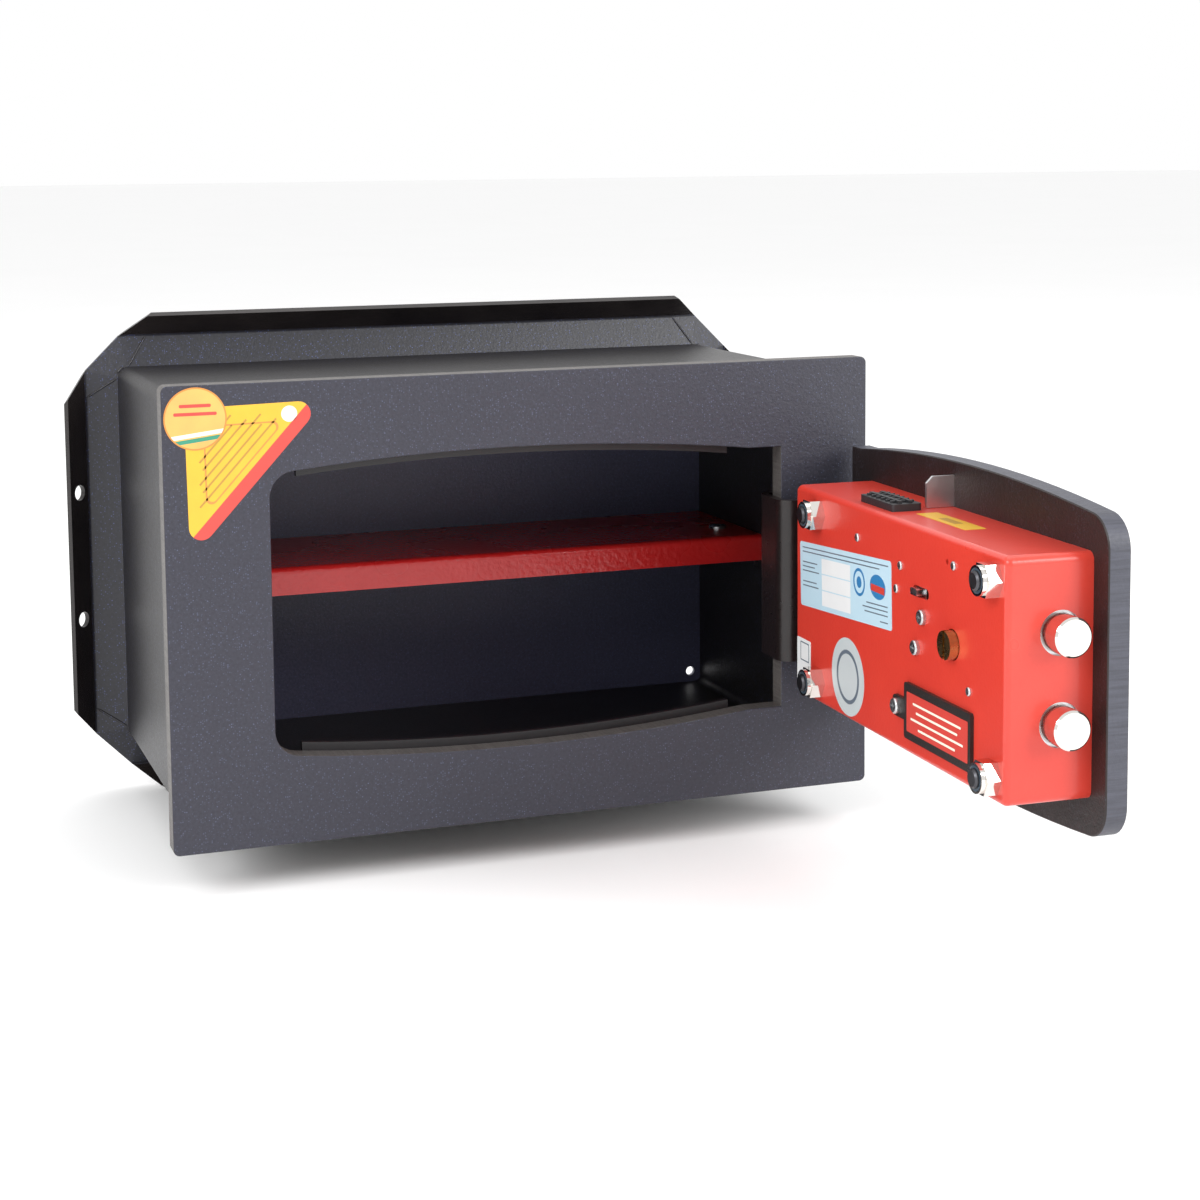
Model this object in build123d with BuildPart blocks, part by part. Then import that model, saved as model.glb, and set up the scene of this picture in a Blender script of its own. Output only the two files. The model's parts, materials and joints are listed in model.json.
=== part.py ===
from build123d import *
import os
from math import cos, sin, tan, acos, pi, radians, degrees

# A wall safe: a welded steel box that is bricked into a wall, with a laser-cut door hung on an inside
# gooseneck hinge. The lock is under a red cover on the door's inner face.
#
# Frame: X to the right, Y into the wall, Z up. The origin is the centre of the front plate's back face,
# which lies on the wall. The door is modelled shut and then swung about its pin to its open rest position.

os.makedirs("parts", exist_ok=True)

# ---- driving dimensions, in millimetres ----
PLATE_W, PLATE_H, PLATE_T, PLATE_R = 340, 210, 10, 3
EDGE_SOFT = 0.5
OPEN_LEFT, OPEN_RIGHT = -123, 125
OPEN_STRAIGHT = 63.5          # half height of the opening beside the hinge
OPEN_PEAK = 70.2              # half height in the middle of the bowed edges
BOW_START = 108.5             # where the hinge-side straight turns into the bow
OPEN_CORNER = 12
DOOR_GAP = 0.7
HINGE_GAP = 7                 # the slab swings out past the frame on this side
DOOR_T = 9.7
DOOR_BACK = DOOR_T - PLATE_T  # y of the slab's inner face when shut, just clear of the stops
REST_OPEN = 88                # degrees, the door's open rest position

BODY_X, BODY_W, BODY_H = 0, 324, 194
BODY_L, BODY_R, SHEET = 180, 5.5, 2
BACK_T, BACK_HOLE_R = 2.5, 2.5

BAND_OUT, BAND_BACK = 15.5, 5.6      # the flared band around the back
RIM_OUT, RIM_FORE = 10.5, 10.5       # the rim folded forward from the band
SEAM_RUN = 15.7                      # how far the corner seams lean in along the fold
CORNER_CUT = 17.3                    # the band's corner cut, measured along the fold
RIM_CUT = 13.5
SEAM_GAP = 0.15
ANCHOR_HOLE_R, ANCHOR_PITCH = 4, 66

STOP_T, STOP_LAND, STOP_LIP, STOP_LIP_SIDE = 3, 7, 4, 1.2
STOP_ARM_END = 99

SHELF_TOP, SHELF_FRONT, SHELF_T, SHELF_LIP = 2.7, 91, 2, 13.5
SHELF_HOLE_X, SHELF_HOLE_Y, SHELF_HOLE_R = 146, 120, 2.6

PIN_X, PIN_Y, PIN_R = 147.7, 11.4, 4
PIN_FIT = 0.05
ARM_T, ARM_HALF, EYE_R = 3.5, 39, 7.45
ARM_X = 116                   # the arm's outer side beside the slab's hinge edge
ARM_BACK = 38.7               # how far behind the plate the shut arm reaches
FOOT_END = 58
WASHER_T, BRACKET_H = 1, 12

COVER_HINGE, COVER_FREE, COVER_HALF, COVER_D, COVER_T = 98, -111, 49.2, 37.5, 1.5
COVER_FACE = DOOR_BACK + COVER_D
STUD_XS, STUD_Z, STUD_R = (71, -101), 39, 4
NUT_AF, NUT_H, INSERT_H = 13, 6, 2
SCREW_R = 1.4
COVER_SCREWS = [(-38, 12), (-32, -2)]
RIVETS = [(27.7, 35), (-16.3, 30), (-12.4, 19.5), (-66, 38.3), (-80, -10)]
ARM_SCREWS = [(70, 25), (70, -25), (86, 25), (86, -25)]

BOLT_Z, BOLT_Y, BOLT_R = 18.2, 13.6, 8
BOLT_TIP, BOLT_INNER = -121.3, -80.5
GUIDE_X0, GUIDE_X1 = -109.3, -101.5
THROW = 18.8

SPINDLE_X, SPINDLE_Z, SPINDLE_R = -65.2, 6, 6
SPINDLE_END = 41.2
MODULE, TEETH, PRESSURE, BACKLASH = 1.5, 16, radians(20), 0.3
PITCH_R = MODULE * TEETH / 2
CARRIER_Y, CARRIER_T, RACK_T = 23.5, 3, 6

BATTERY_X, BATTERY_Z = (-84.5, -23.5), (-42, -18)
CELL_X, CELL_Z, CELL_W, CELL_H, CELL_D = -48, -30, 43.5, 17.5, 24
SOLENOID_X, SOLENOID_Z = -38, 30
KNOB_R, KNOB_D = 21, 15.5
PAD_X, PAD_Z, PAD_W, PAD_H, PAD_D = 22, 4, 104, 72, 11
KEY_W, KEY_H, KEY_PITCH_X, KEY_PITCH_Z, KEY_TRAVEL = 15, 12, 20, 16, 1.5
LOCK_X, LOCK_Z = 91, 4

PIVOT = Axis((PIN_X, PIN_Y, 0), (0, 0, 1))


def depth(y):
    """The plane facing the room at distance y behind the wall face; extruding comes towards the room."""
    return Plane.XZ.offset(-y)


def save(piece, name, on_door=False):
    """Labels a finished piece, swings a door piece to the rest position, and writes its STEP file."""
    if on_door:
        piece.part = piece.part.rotate(PIVOT, REST_OPEN)
    piece.part.label = name
    export_step(piece.part, f"parts/{name}.step")


def bowed_outline(inset, right, corner):
    """A face with bowed top and bottom, straight sides and rounded left corners, inset all round."""
    straight, peak, left = OPEN_STRAIGHT - inset, OPEN_PEAK - inset, OPEN_LEFT + inset
    middle = (OPEN_LEFT + BOW_START) / 2
    half = BOW_START - middle
    radius = (half**2 + (OPEN_PEAK - OPEN_STRAIGHT) ** 2) / (2 * (OPEN_PEAK - OPEN_STRAIGHT))
    end = peak - radius + (radius**2 - (left - middle) ** 2) ** 0.5
    with BuildSketch(Plane.XY, mode=Mode.PRIVATE) as outline:
        with BuildLine():
            Line((right, -straight), (right, straight))
            Line((right, straight), (BOW_START, straight))
            ThreePointArc((BOW_START, straight), (middle, peak), (left, end))
            Line((left, end), (left, -end))
            ThreePointArc((left, -end), (middle, -peak), (BOW_START, -straight))
            Line((BOW_START, -straight), (right, -straight))
        make_face()
        fillet(outline.vertices().group_by(Axis.X)[0], corner)
    return outline.sketch


def bent_strip(points, radius, thickness):
    """The section of a folded sheet: a path with round bends, thickened to its left, or right if negative."""
    with BuildSketch(Plane.XY, mode=Mode.PRIVATE) as section:
        with BuildLine():
            FilletPolyline(*points, radius=radius)
            side = Side.LEFT if thickness > 0 else Side.RIGHT
            offset(amount=abs(thickness), side=side, kind=Kind.ARC)
        make_face()
    return section.sketch


def screw_heads(places, y, radius, height, slot_w, name, shank=0):
    """Pan heads with a cross recess, standing on a face at depth y and facing away from the room."""
    with BuildPart() as heads:
        for x, z in places:
            with BuildSketch(depth(y + height)):
                with Locations((x, z)):
                    Circle(radius)
            extrude(amount=height)
        fillet(heads.faces().sort_by(Axis.Y)[-len(places):].edges(), height * 0.45)
        for x, z in places:
            if shank > 0:
                with BuildSketch(depth(y)):
                    with Locations((x, z)):
                        Circle(SCREW_R)
                extrude(amount=shank)
            with BuildSketch(depth(y + height)):
                with Locations((x, z)):
                    Rectangle(radius * 1.1, slot_w)
                    Rectangle(slot_w, radius * 1.1)
            extrude(amount=height * 0.45, mode=Mode.SUBTRACT)
    save(heads, name, on_door=True)


# ================= the box that stays in the wall =================

with BuildPart() as front_plate:
    with BuildSketch(depth(0)):
        RectangleRounded(PLATE_W, PLATE_H, PLATE_R)
        add(bowed_outline(0, OPEN_RIGHT, OPEN_CORNER), mode=Mode.SUBTRACT)
    extrude(amount=PLATE_T)
    fillet(front_plate.faces().sort_by(Axis.Y)[0].edges(), EDGE_SOFT)
save(front_plate, "front_plate")

with BuildPart() as body_shell:
    with BuildSketch(depth(BODY_L)):
        with Locations((BODY_X, 0)):
            RectangleRounded(BODY_W, BODY_H, BODY_R)
            RectangleRounded(BODY_W - 2 * SHEET, BODY_H - 2 * SHEET, BODY_R - SHEET, mode=Mode.SUBTRACT)
    extrude(amount=BODY_L)
save(body_shell, "body_shell")

with BuildPart() as back_plate:
    with BuildSketch(depth(BODY_L + BACK_T)) as back_outline:
        with Locations((BODY_X, 0)):
            Rectangle(BODY_W, BODY_H)
        chamfer(back_outline.vertices(), BODY_R)
        with Locations((BODY_X + BODY_W / 2 - 8, -BODY_H / 2 + 8)):
            Circle(BACK_HOLE_R, mode=Mode.SUBTRACT)
    extrude(amount=BACK_T)
save(back_plate, "back_plate")

# Anchor flange: a flared band around the back with rims folded forward for the mortar to grip.
HALF_W, HALF_H = BODY_W / 2, BODY_H / 2
RIM_TOP = BAND_OUT + RIM_OUT + 4
RIM_LEAN = RIM_CUT / RIM_OUT * (RIM_TOP - BAND_OUT)


def flange_trim(half):
    """The seen outline of one side flange, as (along, outward) corners, for a body side 2 * half long."""
    side = [
        (half - BODY_R - SEAM_GAP, 0),
        (half - SEAM_RUN - SEAM_GAP, BAND_OUT),
        (half + BAND_OUT - CORNER_CUT, BAND_OUT),
        (half + BAND_OUT - CORNER_CUT - RIM_LEAN, RIM_TOP),
    ]
    return side + [(-s, d) for s, d in reversed(side)]


def flange_path(start, sign):
    """The front surface of the band and rim, as (outward position, y), going out from the body side."""
    fold, tip = start + sign * BAND_OUT, start + sign * (BAND_OUT + RIM_OUT)
    return [(start, BODY_L), (fold, BODY_L + BAND_BACK), (tip, BODY_L + BAND_BACK - RIM_FORE)]


for name, sign in (("flange_top", 1), ("flange_bottom", -1)):
    with BuildPart() as flange:
        profile = bent_strip([(y, z) for z, y in flange_path(HALF_H, 1)], 2, -BACK_T)
        with BuildSketch(Plane.YZ.offset(-HALF_W - 30)):
            add(profile)
        extrude(amount=BODY_W + 60)
        with BuildSketch(depth(BODY_L + 20)):
            with BuildLine():
                Polyline(*[(BODY_X + s, HALF_H + d) for s, d in flange_trim(HALF_W)], close=True)
            make_face()
        extrude(amount=40, mode=Mode.INTERSECT)
        if sign < 0:
            mirror(about=Plane.XY, mode=Mode.REPLACE)
    save(flange, name)

for name, sign in (("flange_right", 1), ("flange_left", -1)):
    with BuildPart() as flange:
        with BuildSketch(Plane.XY.offset(-HALF_H - 30)):
            add(bent_strip(flange_path(BODY_X + HALF_W, 1), 2, BACK_T))
        extrude(amount=BODY_H + 60)
        with BuildSketch(depth(BODY_L + 20)):
            with BuildLine():
                Polyline(*[(BODY_X + HALF_W + d, s) for s, d in flange_trim(HALF_H)], close=True)
            make_face()
        extrude(amount=40, mode=Mode.INTERSECT)
        # anchor holes, square to the sloping rim
        rim_x, rim_y = BODY_X + HALF_W + BAND_OUT + RIM_OUT / 2, BODY_L + BAND_BACK - RIM_FORE / 2
        with BuildSketch(Plane((rim_x, rim_y, 0), x_dir=(0, 0, 1), z_dir=(-1, -1, 0))):
            with Locations((-ANCHOR_PITCH / 2, 0), (ANCHOR_PITCH / 2, 0)):
                Circle(ANCHOR_HOLE_R)
        extrude(amount=6, both=True, mode=Mode.SUBTRACT)
        if sign < 0:
            mirror(about=Plane.YZ.offset(BODY_X), mode=Mode.REPLACE)
    save(flange, name)


def cut_rectangle(half_w, half_h, cut):
    """The corner points of a rectangle with its corners cut off."""
    right = [(half_w, -half_h + cut), (half_w, half_h - cut), (half_w - cut, half_h), (-half_w + cut, half_h)]
    return [(BODY_X + x, z) for x, z in right] + [(BODY_X - x, -z) for x, z in right]


with BuildPart() as flange_corners:
    for y, mode in ((BODY_L, Mode.ADD), (BODY_L + BACK_T, Mode.SUBTRACT)):
        with BuildSketch(depth(y)):
            with BuildLine():
                Polyline(*cut_rectangle(HALF_W, HALF_H, BODY_R), close=True)
            make_face()
        with BuildSketch(depth(y + BAND_BACK)) as outer_edge:
            with BuildLine():
                Polyline(*cut_rectangle(HALF_W + BAND_OUT, HALF_H + BAND_OUT, CORNER_CUT), close=True)
            make_face()
        loft(ruled=True, mode=mode)
        if mode == Mode.ADD:
            extrude(outer_edge.sketch, amount=-BACK_T)
    with BuildSketch(depth(BODY_L + BACK_T)):
        with BuildLine():
            Polyline(*cut_rectangle(HALF_W, HALF_H, BODY_R), close=True)
        make_face()
    extrude(amount=BACK_T, mode=Mode.SUBTRACT)
    with BuildSketch(depth(BODY_L + 20)):
        for sx in (-1, 1):
            for sz in (-1, 1):
                edge = [(-BODY_R, 0), (-SEAM_RUN, BAND_OUT), (BAND_OUT - CORNER_CUT, BAND_OUT)]
                points = edge + [(z, x) for x, z in reversed(edge)]
                gusset = [(BODY_X + sx * (HALF_W + x), sz * (HALF_H + z)) for x, z in points]
                with BuildLine():
                    Polyline(*gusset, close=True)
                make_face()
    extrude(amount=40, mode=Mode.INTERSECT)
save(flange_corners, "flange_corners")

with BuildPart() as door_stops:
    with BuildSketch(depth(STOP_T)):
        add(bowed_outline(-STOP_LAND, STOP_ARM_END + 40, OPEN_CORNER + STOP_LAND))
        add(bowed_outline(STOP_LIP, STOP_ARM_END + 40, OPEN_CORNER), mode=Mode.SUBTRACT)
        with Locations(((STOP_ARM_END + OPEN_LEFT + OPEN_CORNER) / 2 + 2, 0)):
            Rectangle(STOP_ARM_END - OPEN_LEFT - OPEN_CORNER, 200, mode=Mode.INTERSECT)
    extrude(amount=STOP_T)
    with BuildSketch(depth(STOP_T)):
        with Locations((OPEN_LEFT + STOP_LIP_SIDE - STOP_LAND / 2, 0)):
            Rectangle(STOP_LAND, 2 * (OPEN_STRAIGHT - OPEN_CORNER))
    extrude(amount=STOP_T)
save(door_stops, "door_stops")

SHELF_X = BODY_X
SHELF_HALF = BODY_W / 2 - SHEET - 0.4
with BuildPart() as shelf:
    lip_path = [(BODY_L - 0.3, SHELF_TOP), (SHELF_FRONT, SHELF_TOP), (SHELF_FRONT, SHELF_TOP - SHELF_LIP)]
    with BuildSketch(Plane.YZ.offset(SHELF_X - SHELF_HALF)):
        add(bent_strip(lip_path, 3, SHELF_T))
    extrude(amount=2 * SHELF_HALF)
    with BuildSketch(Plane.XY.offset(SHELF_TOP)):
        with Locations((-SHELF_HOLE_X, SHELF_HOLE_Y), (SHELF_HOLE_X, SHELF_HOLE_Y)):
            Circle(SHELF_HOLE_R)
    extrude(amount=-SHELF_T, mode=Mode.SUBTRACT)
save(shelf, "shelf")

SHELF_UNDER = SHELF_TOP - SHELF_T
with BuildPart() as shelf_brackets:
    for side in (-1, 1):
        wall = SHELF_X + side * (BODY_W / 2 - SHEET)
        corner = [(wall - side * 22, SHELF_UNDER), (wall, SHELF_UNDER), (wall, SHELF_UNDER - 16)]
        with BuildSketch(depth(168)):
            add(bent_strip(corner, 2.5, -2 * side))
        extrude(amount=70)
    with BuildSketch(Plane.XY.offset(SHELF_UNDER)):
        with Locations((-SHELF_HOLE_X, SHELF_HOLE_Y), (SHELF_HOLE_X, SHELF_HOLE_Y)):
            Circle(SHELF_HOLE_R)
    extrude(amount=-2, mode=Mode.SUBTRACT)
save(shelf_brackets, "shelf_brackets")

with BuildPart() as shelf_screws:
    for x in (-SHELF_HOLE_X, SHELF_HOLE_X):
        with BuildSketch(Plane.XY.offset(SHELF_TOP)):
            with Locations((x, SHELF_HOLE_Y)):
                Circle(4.5)
        extrude(amount=1.8)
        with BuildSketch(Plane.XY.offset(SHELF_TOP)):
            with Locations((x, SHELF_HOLE_Y)):
                Circle(2.5)
        extrude(amount=-9)
    fillet(shelf_screws.faces().sort_by(Axis.Z)[-2:].edges(), 0.9)
save(shelf_screws, "shelf_screws")

# ---- hinge: pin, brackets and washers on the frame ----
BRACKET_Z = ARM_HALF + 0.2 + WASHER_T
with BuildPart() as hinge_brackets:
    for side in (-1, 1):
        with BuildSketch(Plane.XY.offset(side * BRACKET_Z)):
            with Locations((PIN_X, PIN_Y)):
                Circle(EYE_R + 0.8)
            with Locations((PIN_X, PIN_Y / 2)):
                Rectangle(2 * EYE_R + 1.6, PIN_Y)
            with Locations((PIN_X, PIN_Y)):
                Circle(PIN_R, mode=Mode.SUBTRACT)
        extrude(amount=side * BRACKET_H)
save(hinge_brackets, "hinge_brackets")

with BuildPart() as hinge_pin:
    with BuildSketch(Plane.XY.offset(-BRACKET_Z - BRACKET_H - 2)):
        with Locations((PIN_X, PIN_Y)):
            Circle(PIN_R)
    extrude(amount=2 * (BRACKET_Z + BRACKET_H) + 2)
    with BuildSketch(Plane.XY.offset(BRACKET_Z + BRACKET_H)):
        with Locations((PIN_X, PIN_Y)):
            Circle(PIN_R + 2)
    extrude(amount=3)
    chamfer(hinge_pin.faces().sort_by(Axis.Z)[0].edges(), 1)
    fillet(hinge_pin.faces().sort_by(Axis.Z)[-1].edges(), 1)
save(hinge_pin, "hinge_pin")

with BuildPart() as hinge_washers:
    for side in (-1, 1):
        with BuildSketch(Plane.XY.offset(side * (BRACKET_Z - 0.02))):
            with Locations((PIN_X, PIN_Y)):
                Circle(EYE_R)
                Circle(PIN_R + 0.3, mode=Mode.SUBTRACT)
        extrude(amount=-side * (WASHER_T - 0.02))
save(hinge_washers, "hinge_washers")

# ================= the door =================
SLAB_HINGE = OPEN_RIGHT - HINGE_GAP

with BuildPart() as door_plate:
    with BuildSketch(depth(DOOR_BACK)):
        add(bowed_outline(DOOR_GAP, SLAB_HINGE, OPEN_CORNER + 2))
        with Locations((SPINDLE_X, SPINDLE_Z)):
            Circle(SPINDLE_R + 0.06, mode=Mode.SUBTRACT)
        with Locations((PAD_X, PAD_Z)):
            Rectangle(30, 8, mode=Mode.SUBTRACT)
        with Locations((LOCK_X, LOCK_Z)):
            Circle(6.5, mode=Mode.SUBTRACT)
    extrude(amount=DOOR_T)
    for face in (door_plate.faces().sort_by(Axis.Y)[0], door_plate.faces().sort_by(Axis.Y)[-1]):
        chamfer(face.outer_wire().edges(), EDGE_SOFT)
save(door_plate, "door_plate", on_door=True)

with BuildPart() as hinge_arm:
    arm_path = [
        (FOOT_END, DOOR_BACK),
        (ARM_X, DOOR_BACK),
        (ARM_X, ARM_BACK - ARM_T),
        (PIN_X - EYE_R, ARM_BACK - ARM_T),
        (PIN_X - EYE_R, PIN_Y),
    ]
    with BuildSketch(Plane.XY.offset(-ARM_HALF)):
        add(bent_strip(arm_path, 4, ARM_T))
        with Locations((PIN_X, PIN_Y)):
            Circle(EYE_R)
            Circle(PIN_R + PIN_FIT, mode=Mode.SUBTRACT)
    extrude(amount=2 * ARM_HALF)
    with BuildSketch(depth(DOOR_BACK + ARM_T)):
        with Locations((STUD_XS[0], STUD_Z), (STUD_XS[0], -STUD_Z)):
            Circle(STUD_R + 1)
        with Locations((LOCK_X, LOCK_Z)):
            Circle(7.5)
    extrude(amount=ARM_T, mode=Mode.SUBTRACT)
save(hinge_arm, "hinge_arm", on_door=True)

screw_heads(ARM_SCREWS, DOOR_BACK + ARM_T, 5, 2.6, 1.4, "hinge_arm_screws")

COVER_MID = (COVER_HINGE + COVER_FREE) / 2
COVER_W = COVER_HINGE - COVER_FREE
with BuildPart() as lock_cover:
    with BuildSketch(depth(COVER_FACE)):
        with Locations((COVER_MID, 0)):
            RectangleRounded(COVER_W, 2 * COVER_HALF, 3.5)
    extrude(amount=COVER_D)
    fillet(lock_cover.faces().sort_by(Axis.Y)[-1].edges(), 2.5)
    offset(amount=-COVER_T, openings=lock_cover.faces().sort_by(Axis.Y)[0])
    # clearance holes for the bolts in the end wall
    with BuildSketch(Plane.YZ.offset(COVER_FREE - 1)):
        with Locations((BOLT_Y, BOLT_Z), (BOLT_Y, -BOLT_Z)):
            Circle(BOLT_R + 1.1)
    extrude(amount=COVER_T + 2, mode=Mode.SUBTRACT)
    # the notch that the hinge arm's foot passes through
    with BuildSketch(Plane.YZ.offset(COVER_HINGE + 1)):
        with Locations((DOOR_BACK + ARM_T / 2, 0)):
            Rectangle(ARM_T + 0.6, 2 * ARM_HALF + 1)
    extrude(amount=-COVER_T - 2, mode=Mode.SUBTRACT)
    # holes in the face: studs, spindle, lever slot, battery bay and a sight hole
    with BuildSketch(depth(COVER_FACE + 1)):
        with Locations(*[(x, z) for x in STUD_XS for z in (-STUD_Z, STUD_Z)]):
            Circle(STUD_R + 0.3)
        with Locations((SPINDLE_X, SPINDLE_Z)):
            Circle(SPINDLE_R + 0.4)
        with Locations((-36, 22)):
            SlotOverall(15, 4.6)
        with Locations((-60, 39)):
            Circle(1.2)
        with Locations(*COVER_SCREWS, *RIVETS):
            Circle(SCREW_R)
        with Locations((CELL_X, CELL_Z)):
            Rectangle(CELL_W + 1.6, CELL_H + 1.6)
    extrude(amount=COVER_T + 1.5, mode=Mode.SUBTRACT)
    # the cable slot in the top wall
    with BuildSketch(Plane.XY.offset(COVER_HALF + 1)):
        with Locations((22, 24)):
            Rectangle(30, 10)
    extrude(amount=-COVER_T - 2, mode=Mode.SUBTRACT)
save(lock_cover, "lock_cover", on_door=True)

with BuildPart() as cover_studs:
    for x in STUD_XS:
        for z in (-STUD_Z, STUD_Z):
            with BuildSketch(depth(COVER_FACE + NUT_H + INSERT_H + 1.5)):
                with Locations((x, z)):
                    Circle(STUD_R)
            extrude(amount=COVER_D + NUT_H + INSERT_H + 1.5)
    chamfer(cover_studs.faces().sort_by(Axis.Y)[-4:].edges(), 0.8)
save(cover_studs, "cover_studs", on_door=True)

with BuildPart() as cover_nuts:
    for x in STUD_XS:
        for z in (-STUD_Z, STUD_Z):
            with BuildSketch(depth(COVER_FACE + NUT_H)):
                with Locations((x, z)):
                    RegularPolygon(NUT_AF / 2, 6, major_radius=False)
            extrude(amount=NUT_H)
            with BuildSketch(depth(COVER_FACE + NUT_H + INSERT_H)):
                with Locations((x, z)):
                    Circle(NUT_AF / 2 - 0.4)
            extrude(amount=INSERT_H)
            with BuildSketch(depth(COVER_FACE + NUT_H + INSERT_H)):
                with Locations((x, z)):
                    Circle(NUT_AF / 2 - 1.4)
            extrude(amount=INSERT_H - 0.4, mode=Mode.SUBTRACT)
            with BuildSketch(depth(COVER_FACE + NUT_H + INSERT_H)):
                with Locations((x, z)):
                    Circle(STUD_R)
            extrude(amount=NUT_H + INSERT_H, mode=Mode.SUBTRACT)
save(cover_nuts, "cover_nuts", on_door=True)

with BuildPart() as nut_inserts:
    for x in STUD_XS:
        for z in (-STUD_Z, STUD_Z):
            with BuildSketch(depth(COVER_FACE + NUT_H + INSERT_H - 0.2)):
                with Locations((x, z)):
                    Circle(NUT_AF / 2 - 1.4)
                    Circle(STUD_R, mode=Mode.SUBTRACT)
            extrude(amount=INSERT_H - 0.6)
save(nut_inserts, "nut_inserts", on_door=True)

screw_heads(COVER_SCREWS, COVER_FACE, 3.2, 2, 0.9, "cover_screws", shank=1.2)

with BuildPart() as cover_rivets:
    for x, z in RIVETS:
        with BuildSketch(depth(COVER_FACE + 0.9)):
            with Locations((x, z)):
                Circle(1.9)
        extrude(amount=0.9)
        with BuildSketch(depth(COVER_FACE)):
            with Locations((x, z)):
                Circle(SCREW_R)
        extrude(amount=COVER_T + 0.3)
    fillet(cover_rivets.faces().sort_by(Axis.Y)[-5:].edges(), 0.7)
save(cover_rivets, "cover_rivets", on_door=True)

# ---- bolt work ----
with BuildPart() as bolt_guide:
    with BuildSketch(Plane.YZ.offset(GUIDE_X0)):
        with Locations((11.6 + DOOR_BACK / 2, 0)):
            Rectangle(23.2 - DOOR_BACK, 62)
        with Locations((BOLT_Y, BOLT_Z), (BOLT_Y, -BOLT_Z)):
            Circle(BOLT_R + 0.06, mode=Mode.SUBTRACT)
    extrude(amount=GUIDE_X1 - GUIDE_X0)
save(bolt_guide, "bolt_guide", on_door=True)

with BuildPart() as locking_bolts:
    for z in (-BOLT_Z, BOLT_Z):
        with BuildSketch(Plane.YZ.offset(BOLT_TIP)):
            with Locations((BOLT_Y, z)):
                Circle(BOLT_R)
        extrude(amount=BOLT_INNER - BOLT_TIP)
    chamfer(locking_bolts.faces().sort_by(Axis.X)[:2].edges(), 0.8)
    for z in (-BOLT_Z, BOLT_Z):
        with BuildSketch(Plane.YZ.offset(BOLT_INNER)):
            with Locations((BOLT_Y, z)):
                Circle(3)
        extrude(amount=-14, mode=Mode.SUBTRACT)
save(locking_bolts, "locking_bolts", on_door=True)

# The carrier: a flange that the bolts screw to, a plate behind them, and a rack on the plate.
RACK_PITCH_Z = SPINDLE_Z - PITCH_R
TOOTH_PITCH = pi * MODULE
PLATE_END, PLATE_LOW, PLATE_HIGH = -22, -17, 26
with BuildPart() as bolt_carrier:
    with BuildSketch(Plane.YZ.offset(BOLT_INNER)):
        with Locations((6 + (CARRIER_Y + CARRIER_T - 6) / 2, 0)):
            Rectangle(CARRIER_Y + CARRIER_T - 6, 56)
        with Locations((BOLT_Y, BOLT_Z), (BOLT_Y, -BOLT_Z)):
            Circle(3, mode=Mode.SUBTRACT)
    extrude(amount=3.5)
    with BuildSketch(depth(CARRIER_Y + CARRIER_T)):
        with BuildLine():
            Polyline((BOLT_INNER, PLATE_LOW), (PLATE_END, PLATE_LOW), (PLATE_END, PLATE_HIGH),
                     (BOLT_INNER, PLATE_HIGH), close=True)
        make_face()
        with Locations((SPINDLE_X + THROW / 2, SPINDLE_Z)):
            SlotOverall(THROW + 2 * SPINDLE_R + 1.4, 2 * SPINDLE_R + 1.4, mode=Mode.SUBTRACT)
        with Locations((SOLENOID_X, PLATE_HIGH), (SOLENOID_X + THROW, PLATE_HIGH)):
            Rectangle(7.4, 9, mode=Mode.SUBTRACT)
    extrude(amount=CARRIER_T)
    with BuildSketch(depth(CARRIER_Y + CARRIER_T + RACK_T)):
        with BuildLine():
            root, tip = RACK_PITCH_Z - 1.25 * MODULE, RACK_PITCH_Z + 0.95 * MODULE
            half_root = TOOTH_PITCH / 4 - BACKLASH / 2 + 1.25 * MODULE * tan(PRESSURE)
            half_tip = TOOTH_PITCH / 4 - BACKLASH / 2 - 0.95 * MODULE * tan(PRESSURE)
            teeth = []
            for k in range(-2, 8):
                x = SPINDLE_X + k * TOOTH_PITCH
                teeth += [(x - half_root, root), (x - half_tip, tip)]
                teeth += [(x + half_tip, tip), (x + half_root, root)]
            base = [(teeth[-1][0] + 1, root), (teeth[-1][0] + 1, PLATE_LOW)]
            Polyline((teeth[0][0] - 1, PLATE_LOW), (teeth[0][0] - 1, root), *teeth, *base, close=True)
        make_face()
    extrude(amount=RACK_T)
save(bolt_carrier, "bolt_carrier", on_door=True)

with BuildPart() as bolt_screws:
    for z in (-BOLT_Z, BOLT_Z):
        with BuildSketch(Plane.YZ.offset(BOLT_INNER + 3.5)):
            with Locations((BOLT_Y, z)):
                RegularPolygon(5, 6, major_radius=False)
        extrude(amount=4)
        with BuildSketch(Plane.YZ.offset(BOLT_INNER + 3.5)):
            with Locations((BOLT_Y, z)):
                Circle(3)
        extrude(amount=-14)
save(bolt_screws, "bolt_screws", on_door=True)

# ---- knob, spindle and pinion ----
PINION_Y0 = CARRIER_Y + CARRIER_T + 0.3


def involute(angle):
    return tan(angle) - angle


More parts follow.
